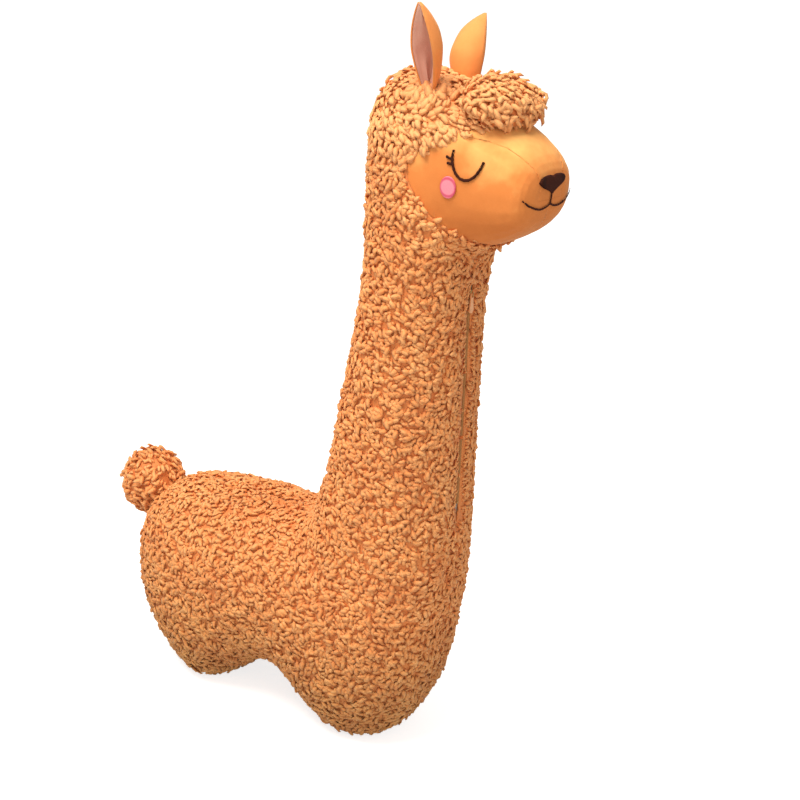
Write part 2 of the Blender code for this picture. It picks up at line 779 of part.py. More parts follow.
def build_puller(parts, guides, paint):
    """The teardrop puller, whose eye takes the bail."""
    bar = PULLER_THICK / 2
    top_half = PULLER_NECK / 2
    low_half = PULLER_WIDTH / 2
    shoulder = PULLER_CHAMFER - bar
    foot = 1.2 * bar + PULLER_EYE
    outline = [(-top_half, foot), (-top_half, shoulder)]
    outline += [(-top_half + PULLER_CHAMFER, -bar), (top_half - PULLER_CHAMFER, -bar)]
    outline += [(top_half, shoulder), (top_half, foot)]
    centre = PULLER_LENGTH - bar - low_half
    for index in range(13):
        angle = math.radians(-12 + 204 * index / 12)
        outline.append((low_half * math.cos(angle), centre + low_half * math.sin(angle)))
    puller = prism("zip_puller", outline, Matrix.Identity(4), -bar, bar, parts)
    half = PULLER_EYE_WIDTH / 2
    eye = ((-half, bar), (half, bar), (half, bar + PULLER_EYE), (-half, bar + PULLER_EYE))
    hole = prism("puller_eye", eye, Matrix.Identity(4), -2 * bar, 2 * bar, guides)
    pivot = zip_frame() @ Matrix.Translation((0, 0, puller_pivot()))
    puller.matrix_world = pivot
    hole.matrix_world = pivot
    boolean(puller, hole, "DIFFERENCE")
    puller.data.materials.append(paint)


def head_turn_tree():
    """Turns what is above the throat to the right about the neck, easing in over the span below."""
    tree = bpy.data.node_groups.new("head_turn", "GeometryNodeTree")
    tree.interface.new_socket("Geometry", in_out="INPUT", socket_type="NodeSocketGeometry")
    tree.interface.new_socket("Geometry", in_out="OUTPUT", socket_type="NodeSocketGeometry")
    given = tree.nodes.new("NodeGroupInput")
    result = tree.nodes.new("NodeGroupOutput")
    place = tree.nodes.new("GeometryNodeInputPosition")
    parted = tree.nodes.new("ShaderNodeSeparateXYZ")
    eased = tree.nodes.new("ShaderNodeMapRange")
    eased.interpolation_type = "SMOOTHSTEP"
    top = THROAT_HEIGHT + TURN_TOP
    eased.inputs["From Min"].default_value = top - TURN_SPAN
    eased.inputs["From Max"].default_value = top
    eased.inputs["To Min"].default_value = 0
    eased.inputs["To Max"].default_value = -HEAD_TURN
    turned = tree.nodes.new("ShaderNodeVectorRotate")
    turned.rotation_type = "Z_AXIS"
    turned.inputs["Center"].default_value = (CHEST_X - NECK_LEAN - NECK_DEPTH / 2, 0, 0)
    moved = tree.nodes.new("GeometryNodeSetPosition")
    for source, target in (
        (place.outputs["Position"], parted.inputs["Vector"]),
        (parted.outputs["Z"], eased.inputs["Value"]),
        (place.outputs["Position"], turned.inputs["Vector"]),
        (eased.outputs["Result"], turned.inputs["Angle"]),
        (given.outputs["Geometry"], moved.inputs["Geometry"]),
        (turned.outputs["Vector"], moved.inputs["Position"]),
        (moved.outputs["Geometry"], result.inputs["Geometry"]),
    ):
        tree.links.new(source, target)
    return tree


def turn_head(parts):
    tree = head_turn_tree()
    for obj in parts.objects:
        if obj.name not in ("zip_slider", "zip_puller"):
            obj.modifiers.new("head turn", "NODES").node_group = tree


def clear_scene():
    for obj in list(bpy.data.objects):
        bpy.data.objects.remove(obj)


def collection_named(name, hidden):
    made = bpy.data.collections.new(name)
    bpy.context.scene.collection.children.link(made)
    made.hide_render = hidden
    return made


def finish_guides(guides):
    for obj in guides.objects:
        obj.hide_render = True
        obj.display_type = "WIRE"


def build_alpaca():
    clear_scene()
    parts = collection_named("plush_alpaca", False)
    guides = collection_named("cutters", True)
    fleece = material("fleece", (0.60, 0.27, 0.10), 0.95)
    velour = material("velour", (0.78, 0.33, 0.10), 0.8)
    ear_velour = material("ear_velour", (0.90, 0.42, 0.14), 0.8)
    lining = material("ear_lining", (0.62, 0.26, 0.16), 0.85)
    filling = material("filling", (0.85, 0.84, 0.80), 1.0)
    dark_thread = material("dark_thread", (0.055, 0.015, 0.008), 0.55)
    pink_thread = material("pink_thread", (0.90, 0.27, 0.32), 0.55)
    tape = material("zip_tape", (0.20, 0.13, 0.05), 0.8)
    metal = material("zip_metal", (0.55, 0.45, 0.33), 0.35, 1.0)
    paint = material("puller_paint", (0.85, 0.42, 0.22), 0.35)

    form = build_form(guides)
    seat = displaced("seat", form, SEAM_GAP, guides)
    tree = form_tree(form)
    build_coat(form, parts, guides, fleece)
    build_face(form, parts, guides, velour)
    build_stuffing(form, parts, guides, filling)
    build_forelock(seat, parts, fleece)
    build_tail(seat, parts, fleece)
    build_ears(seat, parts, ear_velour, lining)
    build_eyes(tree, seat, parts, guides, dark_thread)
    build_cheeks(form, parts, guides, pink_thread)
    build_nose(form, parts, guides, dark_thread)
    build_mouth(tree, seat, parts, guides, dark_thread)
    build_zip_sides(parts, guides, tape)
    build_zip_stops(parts, metal)
    build_slider(parts, guides, metal)
    build_puller(parts, guides, paint)
    turn_head(parts)
    finish_guides(guides)


build_alpaca()
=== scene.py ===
import json
import math

import bmesh
import bpy
import numpy as np
from mathutils import Matrix, Vector, noise
from mathutils.bvhtree import BVHTree
from mathutils.kdtree import KDTree

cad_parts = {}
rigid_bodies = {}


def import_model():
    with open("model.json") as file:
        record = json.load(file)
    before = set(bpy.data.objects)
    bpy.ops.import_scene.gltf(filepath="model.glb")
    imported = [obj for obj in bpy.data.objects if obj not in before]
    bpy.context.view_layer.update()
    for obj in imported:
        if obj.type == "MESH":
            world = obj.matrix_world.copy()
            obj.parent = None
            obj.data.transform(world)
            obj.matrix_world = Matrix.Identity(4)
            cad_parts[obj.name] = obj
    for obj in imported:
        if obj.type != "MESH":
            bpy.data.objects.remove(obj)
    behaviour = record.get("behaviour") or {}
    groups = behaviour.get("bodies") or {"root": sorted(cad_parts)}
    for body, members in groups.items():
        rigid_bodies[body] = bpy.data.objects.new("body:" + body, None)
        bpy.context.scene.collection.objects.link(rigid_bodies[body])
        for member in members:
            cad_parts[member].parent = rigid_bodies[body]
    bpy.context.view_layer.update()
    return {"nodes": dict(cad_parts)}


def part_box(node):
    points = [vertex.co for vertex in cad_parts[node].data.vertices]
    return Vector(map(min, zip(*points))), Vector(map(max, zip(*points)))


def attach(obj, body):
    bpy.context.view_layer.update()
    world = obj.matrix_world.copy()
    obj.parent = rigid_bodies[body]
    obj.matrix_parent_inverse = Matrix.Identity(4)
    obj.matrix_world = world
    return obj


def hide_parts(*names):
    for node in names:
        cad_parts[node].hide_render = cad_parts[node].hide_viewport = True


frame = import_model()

scene = bpy.context.scene
for leftover in [o for o in bpy.data.objects if o.name in ("Cube", "Light", "Camera")]:
    bpy.data.objects.remove(leftover)
print("frame loaded")


# small helpers

def colour(red, green, blue):
    # screen values 0-255 to the linear colour a shader takes
    steps = [v / 255 for v in (red, green, blue)]
    return tuple(v / 12.92 if v <= 0.04045 else ((v + 0.055) / 1.055) ** 2.4 for v in steps) + (1.0,)


def addObject(name, mesh):
    obj = bpy.data.objects.new(name, mesh)
    scene.collection.objects.link(obj)
    return obj


def shade(mesh, smooth=True):
    mesh.polygons.foreach_set("use_smooth", [smooth] * len(mesh.polygons))


def meshFrom(name, work, smooth=True):
    mesh = bpy.data.meshes.new(name)
    work.to_mesh(mesh)
    work.free()
    shade(mesh, smooth)
    return mesh


def copyOfNode(*nodes):
    # the CAD nodes as one welded mesh
    work = bmesh.new()
    for node in nodes:
        work.from_mesh(frame["nodes"][node].data)
    bmesh.ops.remove_doubles(work, verts=work.verts, dist=0.00002)
    return work


def applied(obj):
    # the evaluated mesh in place of the modifiers
    graph = bpy.context.evaluated_depsgraph_get()
    mesh = bpy.data.meshes.new_from_object(
        obj.evaluated_get(graph), preserve_all_data_layers=True, depsgraph=graph,
    )
    obj.modifiers.clear()
    obj.data = mesh
    return obj


def refined(obj, levels, kind="CATMULL_CLARK"):
    finer = obj.modifiers.new("finer", "SUBSURF")
    finer.subdivision_type = kind
    finer.levels = levels
    finer.render_levels = levels
    return applied(obj)


def evenNet(obj, voxel):
    # the same form with faces of one size all over
    remesh = obj.modifiers.new("even net", "REMESH")
    remesh.mode = "VOXEL"
    remesh.voxel_size = voxel
    return applied(obj)


def pointsOf(mesh):
    points = np.empty(len(mesh.vertices) * 3, np.float32)
    mesh.vertices.foreach_get("co", points)
    return points.reshape(-1, 3).astype(float)


def normalsOf(mesh):
    normals = np.empty(len(mesh.vertices) * 3, np.float32)
    mesh.vertices.foreach_get("normal", normals)
    return normals.reshape(-1, 3).astype(float)


def edgesOf(mesh):
    return np.array([edge.vertices[:] for edge in mesh.edges])


def setPoints(mesh, points):
    mesh.vertices.foreach_set("co", points.astype(np.float32).ravel())
    mesh.update()


def addAttribute(mesh, name, kind, values):
    made = mesh.attributes.new(name, kind, "POINT")
    field = "vector" if kind == "FLOAT_VECTOR" else "value"
    made.data.foreach_set(field, np.asarray(values, np.float32).ravel())


def relaxed(points, edges, rounds, share=0.5, free=1.0):
    # smooths a net of points and pushes back, so that it doesn't shrink
    count = np.bincount(edges.ravel(), minlength=len(points))[:, None]
    for step in range(rounds * 2):
        total = np.zeros_like(points)
        np.add.at(total, edges[:, 0], points[edges[:, 1]])
        np.add.at(total, edges[:, 1], points[edges[:, 0]])
        pull = share if step % 2 == 0 else -share - 0.02
        points = points + free * pull * (total / count - points)
    return points


def steps(values, low, high):
    # a soft step from 0 to 1
    share = np.clip((values - low) / (high - low), 0, 1)
    return share * share * (3 - 2 * share)


def nearTree(node):
    data = frame["nodes"][node].data
    return BVHTree.FromPolygons([v.co for v in data.vertices], [p.vertices for p in data.polygons])


def stuffingDepth(points):
    # how far each point lies from the skin of the filling
    return np.array([stuffingTree.find_nearest(Vector(p))[3] or 0 for p in points])


def finished(obj, body, slot, *nodes):
    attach(obj, body)
    if nodes:
        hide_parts(*nodes)


# materials

class Shader:
    # a material whose nodes are added one by one
    def __init__(self, name):
        self.material = bpy.data.materials.new(name)
        self.material.use_nodes = True
        self.tree = self.material.node_tree
        self.surface = self.tree.nodes["Principled BSDF"]
        self.place = self.add("ShaderNodeTexCoord").outputs["Object"]

    def add(self, kind, **settings):
        node = self.tree.nodes.new(kind)
        for name, value in settings.items():
            setattr(node, name, value)
        return node

    def link(self, source, target):
        self.tree.links.new(source, target)

    def noise(self, scale, detail=2.0, roughness=0.5):
        node = self.add("ShaderNodeTexNoise")
        node.inputs["Scale"].default_value = scale
        node.inputs["Detail"].default_value = detail
        node.inputs["Roughness"].default_value = roughness
        self.link(self.place, node.inputs["Vector"])
        return node.outputs["Fac"]

    def height(self, low, high, foot, top):
        # a number that goes from low at the foot's height to high at the top's
        parted = self.add("ShaderNodeSeparateXYZ")
        self.link(self.place, parted.inputs[0])
        return self.value(parted.outputs["Z"], low, high, foot, top)

    def ramp(self, source, stops):
        node = self.add("ShaderNodeValToRGB")
        ramp = node.color_ramp
        for index, (position, tint) in enumerate(stops):
            element = ramp.elements[index] if index < 2 else ramp.elements.new(position)
            element.position = position
            element.color = tint
        self.link(source, node.inputs["Fac"])
        return node.outputs["Color"]

    def value(self, source, low, high, fromLow=0.0, fromHigh=1.0):
        node = self.add("ShaderNodeMapRange")
        ends = {"From Min": fromLow, "From Max": fromHigh, "To Min": low, "To Max": high}
        for name, number in ends.items():
            node.inputs[name].default_value = number
        self.link(source, node.inputs["Value"])
        return node.outputs["Result"]

    def math(self, operation, first, second):
        node = self.add("ShaderNodeMath", operation=operation)
        for index, item in enumerate((first, second)):
            if isinstance(item, (int, float)):
                node.inputs[index].default_value = item
            else:
                self.link(item, node.inputs[index])
        return node.outputs["Value"]

    def mixed(self, share, first, second, blend="MIX"):
        node = self.add("ShaderNodeMix", data_type="RGBA", blend_type=blend)
        for index, item in ((0, share), (6, first), (7, second)):
            if isinstance(item, (int, float, tuple)):
                node.inputs[index].default_value = item
            else:
                self.link(item, node.inputs[index])
        return node.outputs[2]

    def attribute(self, name):
        node = self.add("ShaderNodeAttribute", attribute_name=name)
        return node.outputs["Fac"]

    def bump(self, height, distance, strength=1.0, under=None):
        node = self.add("ShaderNodeBump")
        node.inputs["Distance"].default_value = distance
        node.inputs["Strength"].default_value = strength
        self.link(height, node.inputs["Height"])
        if under:
            self.link(under, node.inputs["Normal"])
        return node.outputs["Normal"]

    def finish(self, tint=None, normal=None, roughness=None, **fixed):
        if isinstance(tint, tuple):
            self.surface.inputs["Base Color"].default_value = tint
        elif tint:
            self.link(tint, self.surface.inputs["Base Color"])
        if normal:
            self.link(normal, self.surface.inputs["Normal"])
        if roughness:
            self.link(roughness, self.surface.inputs["Roughness"])
        for name, number in fixed.items():
            self.surface.inputs[name.replace("_", " ")].default_value = number
        return self.material


def fleeceMaterial(name, look):
    made = Shader(name)
    tip = made.attribute("tip")
    tone = made.attribute("tone")
    patches = made.noise(look["patchScale"], 3.0)
    rise = made.math("ADD", tip, made.value(tone, -look["toneSpread"], look["toneSpread"]))
    # painted light: the fleece turns towards the tip colour near the top of the head, as light from above
    # would fall
    rise = made.math("ADD", rise, made.height(0.0, look["crownPaintedLight"], *look["crownLightRise"]))
    # painted shade: the fleece turns darker towards the feet
    rise = made.math("SUBTRACT", rise, made.height(look["footPaintedShade"], 0.0, *look["footShadeRise"]))
    # painted shade and light: the ramp goes from the root colour, shade deep in the pile, to the tip colour,
    # light on the lock tips
    stops = [(0.0, look["root"]), (1.0, look["tip"]), (0.30, look["low"]), (0.62, look["middle"])]
    shaded = made.ramp(rise, stops)
    share = made.value(patches, 0.0, look["patchDepth"], 0.35, 0.75)
    warm = made.mixed(share, shaded, look["patch"], "MULTIPLY")
    # painted shade: a darkening multiplied in towards the feet
    warm = made.mixed(made.height(1.0, 0.0, *look["footShadeTintRise"]), warm, look["footShadeTint"], "MULTIPLY")
    fibre = made.noise(look["fibreScale"], 4.0, 0.65)
    tinted = made.mixed(made.value(fibre, 0.0, 0.35, 0.4, 0.8), warm, look["glint"])
    normal = made.bump(fibre, look["fibreDepth"], 0.8)
    return made.finish(
        tinted, normal, None, Roughness=0.62, Sheen_Weight=0.22, Sheen_Roughness=0.45,
        Sheen_Tint=look["sheen"], Specular_IOR_Level=0.30,
    )


def velourMaterial(name, look):
    made = Shader(name)
    nap = made.noise(look["napScale"], 3.0, 0.7)
    brushed = made.noise(look["brushScale"], 3.0, 0.55)
    stroke = made.value(brushed, -0.22, 0.22, 0.25, 0.75)
    # painted light: lighter towards the top and darker lower down, with the brushed strokes mixed in
    rise = made.math("ADD", made.height(0.0, 1.0, *look["rise"]), stroke)
    shaded = made.ramp(rise, [(0.0, look["deep"]), (1.0, look["light"]), (0.5, look["main"])])
    tinted = made.mixed(made.value(nap, 0.0, 0.25, 0.35, 0.8), shaded, look["light"])
    normal = made.bump(nap, look["napDepth"], 0.6)
    normal = made.bump(brushed, look["brushDepth"], 0.5, normal)
    return made.finish(
        tinted, normal, None, Roughness=0.85, Sheen_Weight=look["sheenWeight"],
        Sheen_Roughness=0.35, Sheen_Tint=look["sheen"], Specular_IOR_Level=0.2,
    )


def threadMaterial(name, look):
    made = Shader(name)
    twist = made.noise(look["fibreScale"], 3.0, 0.6)
    shaded = made.ramp(twist, [(0.3, look["deep"]), (0.75, look["light"])])
    black, white = (0, 0, 0, 1), (1, 1, 1, 1)
    ring = made.ramp(made.attribute("rim"), [(0.60, black), (1.0, black), (0.74, white), (0.86, white)])
    ringed = made.mixed(ring, shaded, look["ring"])
    normal = made.bump(twist, look["fibreDepth"], 0.7)
    return made.finish(
        ringed, normal, None, Roughness=look["roughness"], Sheen_Weight=look["sheen"],
        Sheen_Roughness=0.4, Specular_IOR_Level=0.12,
    )


# root, low, middle and tip run from painted shade deep in the pile to painted light on the lock tips
fleeceLook = {
    "root": colour(220, 124, 58), "low": colour(227, 132, 64), "middle": colour(235, 148, 77),
    "tip": colour(244, 174, 109), "patch": colour(232, 208, 190), "glint": colour(250, 200, 144),
    "sheen": colour(255, 222, 186), "toneSpread": 0.12, "patchScale": 20.0, "patchDepth": 0.8,
    "crownPaintedLight": 0.50, "crownLightRise": (0.80, 0.90), "footPaintedShade": 0.16, "footShadeRise": (0.02, 0.24),
    "footShadeTint": colour(216, 236, 240), "footShadeTintRise": (0.03, 0.22), "fibreScale": 1400.0, "fibreDepth": 0.0005,
}
# deep, main and light are painted shade low down and painted light at the top, between the rise heights
velourLook = {
    "deep": colour(206, 112, 50), "main": colour(226, 131, 64), "light": colour(250, 188, 110),
    "rise": (0.76, 0.895), "sheen": colour(255, 236, 190), "sheenWeight": 0.30, "napScale": 1800.0,
    "napDepth": 0.0003, "brushScale": 28.0, "brushDepth": 0.0012,
}
# the ears and linings get the same painted light, lighter towards their tips
earLook = dict(
    velourLook, deep=colour(228, 138, 66), main=colour(238, 148, 80), light=colour(244, 158, 90),
    rise=(0.88, 1.02), brushScale=46.0, brushDepth=0.0030,
)
liningLook = dict(
    earLook, deep=colour(196, 138, 116), main=colour(216, 158, 137), light=colour(232, 182, 160),
    sheen=colour(255, 226, 210),
)
darkThreadLook = {
    "deep": colour(44, 16, 8), "light": colour(74, 30, 15), "fibreScale": 2600.0, "fibreDepth": 0.00015,
    "roughness": 0.7, "sheen": 0.0, "ring": colour(44, 16, 8),
}
pinkThreadLook = dict(
    darkThreadLook, deep=colour(238, 128, 146), light=colour(250, 160, 172), ring=colour(214, 92, 116),
    sheen=0.15,
)

fleece = fleeceMaterial("curlyFleece", fleeceLook)
velour = velourMaterial("faceVelour", velourLook)
earVelour = velourMaterial("earVelour", earLook)
earLining = velourMaterial("earLining", liningLook)
darkThread = threadMaterial("darkThread", darkThreadLook)
pinkThread = threadMaterial("pinkThread", pinkThreadLook)
print("materials ready")


# the stuffed form: how the filling rounds the panels

formLook = {
    "voxel": 0.006, "smoothing": 36, "pressure": 4.0, "frames": 18, "swell": 0.0026,
    "seamReach": 0.009, "soleHeight": 0.006, "zipClear": 0.016, "zipStill": 0.006,
    "hollow": (0.006, 0.306), "hollowReach": 0.095, "hollowDepth": 0.013,
}
panelNodes = ["fleece_left", "fleece_right", "face_left", "face_right", "face_bridge"]
zipLow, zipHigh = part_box("zip_side_right")
pullerHang = 0.024  # how far the puller hangs below the slider's lowest place


def wholeForm():
    # one closed skin round all panels and the filling
    work = copyOfNode("stuffing", *panelNodes)
    obj = evenNet(addObject("stuffedForm", meshFrom("stuffedForm", work)), formLook["voxel"])
    work = bmesh.new()
    work.from_mesh(obj.data)
    work.verts.ensure_lookup_table()
    seen = set()
    largest = []
    for start in work.verts:
        if start.index in seen:
            continue
        group = [start]
        seen.add(start.index)
        for vert in group:
            for edge in vert.link_edges:
                other = edge.other_vert(vert)
                if other.index not in seen:
                    seen.add(other.index)
                    group.append(other)
        if len(group) > len(largest):
            largest = group
    kept = set(largest)
    bmesh.ops.delete(work, geom=[v for v in work.verts if v not in kept], context="VERTS")
    obj.data = meshFrom("stuffedForm", work)
    return obj


def zipDistance(points):
    # distance from the line of the zip and of the puller where it hangs at the lower end
    top = np.array([zipLow.x, 0.0, zipHigh.z])
    foot = np.array([zipHigh.x, 0.0, zipLow.z])
    way = (foot - top) / np.linalg.norm(foot - top)
    foot += way * pullerHang
    along = np.clip((points - top) @ way, 0, np.linalg.norm(foot - top))
    return np.linalg.norm(points - top - along[:, None] * way, axis=1)


def swollen(obj):
    # lets the filling press the cloth out a little between the seams
    points = pointsOf(obj.data)
    trees = [nearTree(node) for node in panelNodes]
    firm = np.zeros(len(points))
    for index, point in enumerate(points):
        reached = [tree.find_nearest(Vector(point), formLook["seamReach"])[3] for tree in trees]
        if sum(r is not None for r in reached) > 1:
            firm[index] = 1
    firm[zipDistance(points) < formLook["zipClear"]] = 1
    firm[points[:, 2] < formLook["soleHeight"]] = 1
    group = obj.vertex_groups.new(name="firm")
    group.add([int(i) for i in np.nonzero(firm)[0]], 1.0, "REPLACE")
    cloth = obj.modifiers.new("cloth", "CLOTH")
    cloth.settings.quality = 4
    cloth.settings.mass = 0.3
    cloth.settings.tension_stiffness = 12
    cloth.settings.compression_stiffness = 12
    cloth.settings.bending_stiffness = 0.6
    cloth.settings.use_pressure = True
    cloth.settings.uniform_pressure_force = formLook["pressure"]
    cloth.settings.vertex_group_mass = "firm"
    cloth.settings.effector_weights.gravity = 0
    cloth.point_cache.frame_start = 1
    cloth.point_cache.frame_end = formLook["frames"]
    for number in range(1, formLook["frames"] + 1):
        scene.frame_set(number)
    applied(obj)
    moved = pointsOf(obj.data) - points
    far = np.linalg.norm(moved, axis=1, keepdims=True)
    moved *= np.minimum(1, formLook["swell"] / np.maximum(far, 1e-9))
    scene.frame_set(1)
    return points + moved


def makeFlow():
    # where each point of the CAD skin goes on the rounded form
    obj = wholeForm()
    start = pointsOf(obj.data)
    edges = edgesOf(obj.data)
    end = swollen(obj)
    end = relaxed(end, edges, formLook["smoothing"])
    loose = np.clip((zipDistance(start) - formLook["zipStill"]) / formLook["zipClear"], 0, 1)[:, None]
    loose *= np.clip(start[:, 2:] / (2 * formLook["soleHeight"]), 0, 1)
    shift = (end - start) * loose
    apart = np.hypot(start[:, 0] - formLook["hollow"][0], start[:, 2] - formLook["hollow"][1])
    shift[:, 2] -= formLook["hollowDepth"] * (1 - steps(apart, 0.0, formLook["hollowReach"]))
    bpy.data.objects.remove(obj)
    tree = KDTree(len(start))
    for index, point in enumerate(start):
        tree.insert(point, index)
    tree.balance()
    return tree, shift


def flowed(points, flow):
    tree, shift = flow
    result = points.copy()
    for index, point in enumerate(points):
        near = tree.find_n(point, 4)
        weights = np.array([1 / (n[2] + 0.0005) for n in near])
        moves = shift[[n[1] for n in near]]
        result[index] += (moves * weights[:, None]).sum(0) / weights.sum()
    return result


flow = makeFlow()
stuffingTree = nearTree("stuffing")
print("form rounded")


# where the ears stand

earShape = {
    "root": (0.15225, 0.9154), "length": 0.110, "sunk": 0.024, "fold": 275.0,
    "cloth": 0.0016, "gap": 0.00015, "lobes": 0.0070, "crumple": 0.0020, "neck": 0.132, "turn": -8.5,
    "right": {
        "side": -1, "out": 0.061, "sink": 0.001, "splay": 17.0, "sweep": 1.5, "aim": 15.0, "curl": 0.006,
        "width": 0.078, "twist": 40.0, "unfold": 0.16, "set": (-0.0077, 0.0148, -0.0020),
    },
    "left": {
        "side": 1, "out": 0.038, "sink": 0.024, "splay": 25.0, "sweep": 17.0, "aim": -17.0, "curl": 0.016,
        "width": 0.084, "twist": 0.0, "unfold": 0.42, "set": (0.0, 0.0, 0.0),
    },
}


def earFrame(pose, height=1.0):
    # X across the leaf, Y along it, Z out of its open side, which turns forward towards the root
    side = pose["side"]
    aim = math.radians(pose["aim"] - pose["twist"] * (1 - height))
    lean = math.tan(math.radians(pose["sweep"]))
    along = Vector((-lean, side * math.tan(math.radians(pose["splay"])), 1)).normalized()
    origin = Vector((earShape["root"][0], side * pose["out"], earShape["root"][1])) - along * pose["sink"]
    facing = Vector((-math.tan(aim), side, 0))
    facing = (facing - along * facing.dot(along)).normalized()
    stand = Matrix((along.cross(facing), along, facing)).transposed().to_4x4()
    neck = Matrix.Translation((earShape["neck"], 0, 0))
    turned = neck @ Matrix.Rotation(math.radians(earShape["turn"]), 4, "Z") @ neck.inverted()
    return Matrix.Translation(pose["set"]) @ turned @ Matrix.Translation(origin) @ stand


def leafHalf(share, width):
    root = 0.36 + 0.64 * math.sin(min(share / 0.60, 1) * math.pi / 2) ** 2
    return width / 2 * root * max(0, 1 - max(0, (share - 0.50) / 0.51) ** 2.2)


# fleece: a cloth base with locks of pile

lockLook = {
    "length": 0.0112, "width": 0.0052, "height": 0.0032, "bend": 0.0036,
    "spacing": 0.0036, "density": 110000.0, "sizeSpread": 0.30, "tilt": 0.22, "swirl": 34.0,
}
pileTurn = {"drift": 2.6, "stray": 0.62}  # how far locks turn together, and each by itself


def lockMesh(name, look, turn, lift):
    # one comma of pile lying on the cloth, its root in the base
    length, width, height = look["length"], look["width"], look["height"]
    bends = ((0.0, 0.0, -0.25), (0.34, 0.16, 0.74), (0.76, 0.66, 0.80), (1.0, 1.0, 0.30))
    path = [
        Vector((length * share, turn * look["bend"] * aside, height * rise * lift))
        for share, aside, rise in bends
    ]
    work = bmesh.new()
    rings = []
    tips = []
    sides = 4
    # painted shade and light: the tip value runs from the root, low in the pile where shade falls, to the lit
    # tip, and is higher on each lock's top side than underneath
    for index, (share, tone) in enumerate(((0.70, 0.16), (1.05, 0.58), (0.80, 0.82))):
        ahead = (path[index + 1] - path[max(0, index - 1)]).normalized()
        across = ahead.cross(Vector((0, 0, 1))).normalized()
        upwards = across.cross(ahead)
        ring = []
        for corner in range(sides):
            angle = 2 * math.pi * corner / sides + math.pi / 2
            reach = across * math.cos(angle) * width * 0.56 + upwards * math.sin(angle) * height * 0.5
            ring.append(work.verts.new(path[index] + reach * share))
            tips.append(tone + 0.16 * math.sin(angle))
        rings.append(ring)
    for lower, upper in zip(rings, rings[1:]):
        for corner in range(sides):
            after = (corner + 1) % sides
            work.faces.new((lower[corner], lower[after], upper[after], upper[corner]))
    end = work.verts.new(path[3])
    tips.append(1.0)
    for corner in range(sides):
        work.faces.new((rings[-1][corner], rings[-1][(corner + 1) % sides], end))
    work.faces.new(list(reversed(rings[0])))
    bmesh.ops.recalc_face_normals(work, faces=work.faces)
    mesh = meshFrom(name, work)
    addAttribute(mesh, "tip", "FLOAT", np.clip(tips, 0, 1))
    return mesh


def lockSet(name, look):
    # three locks that bend different ways, for the pile to pick from
    group = bpy.data.collections.new(name)
    for index, (turn, lift) in enumerate(((1.0, 1.0), (-1.0, 1.1), (0.35, 0.85))):
        obj = bpy.data.objects.new(f"{name}{index}", lockMesh(f"{name}{index}", look, turn, lift))
        group.objects.link(obj)
    return group


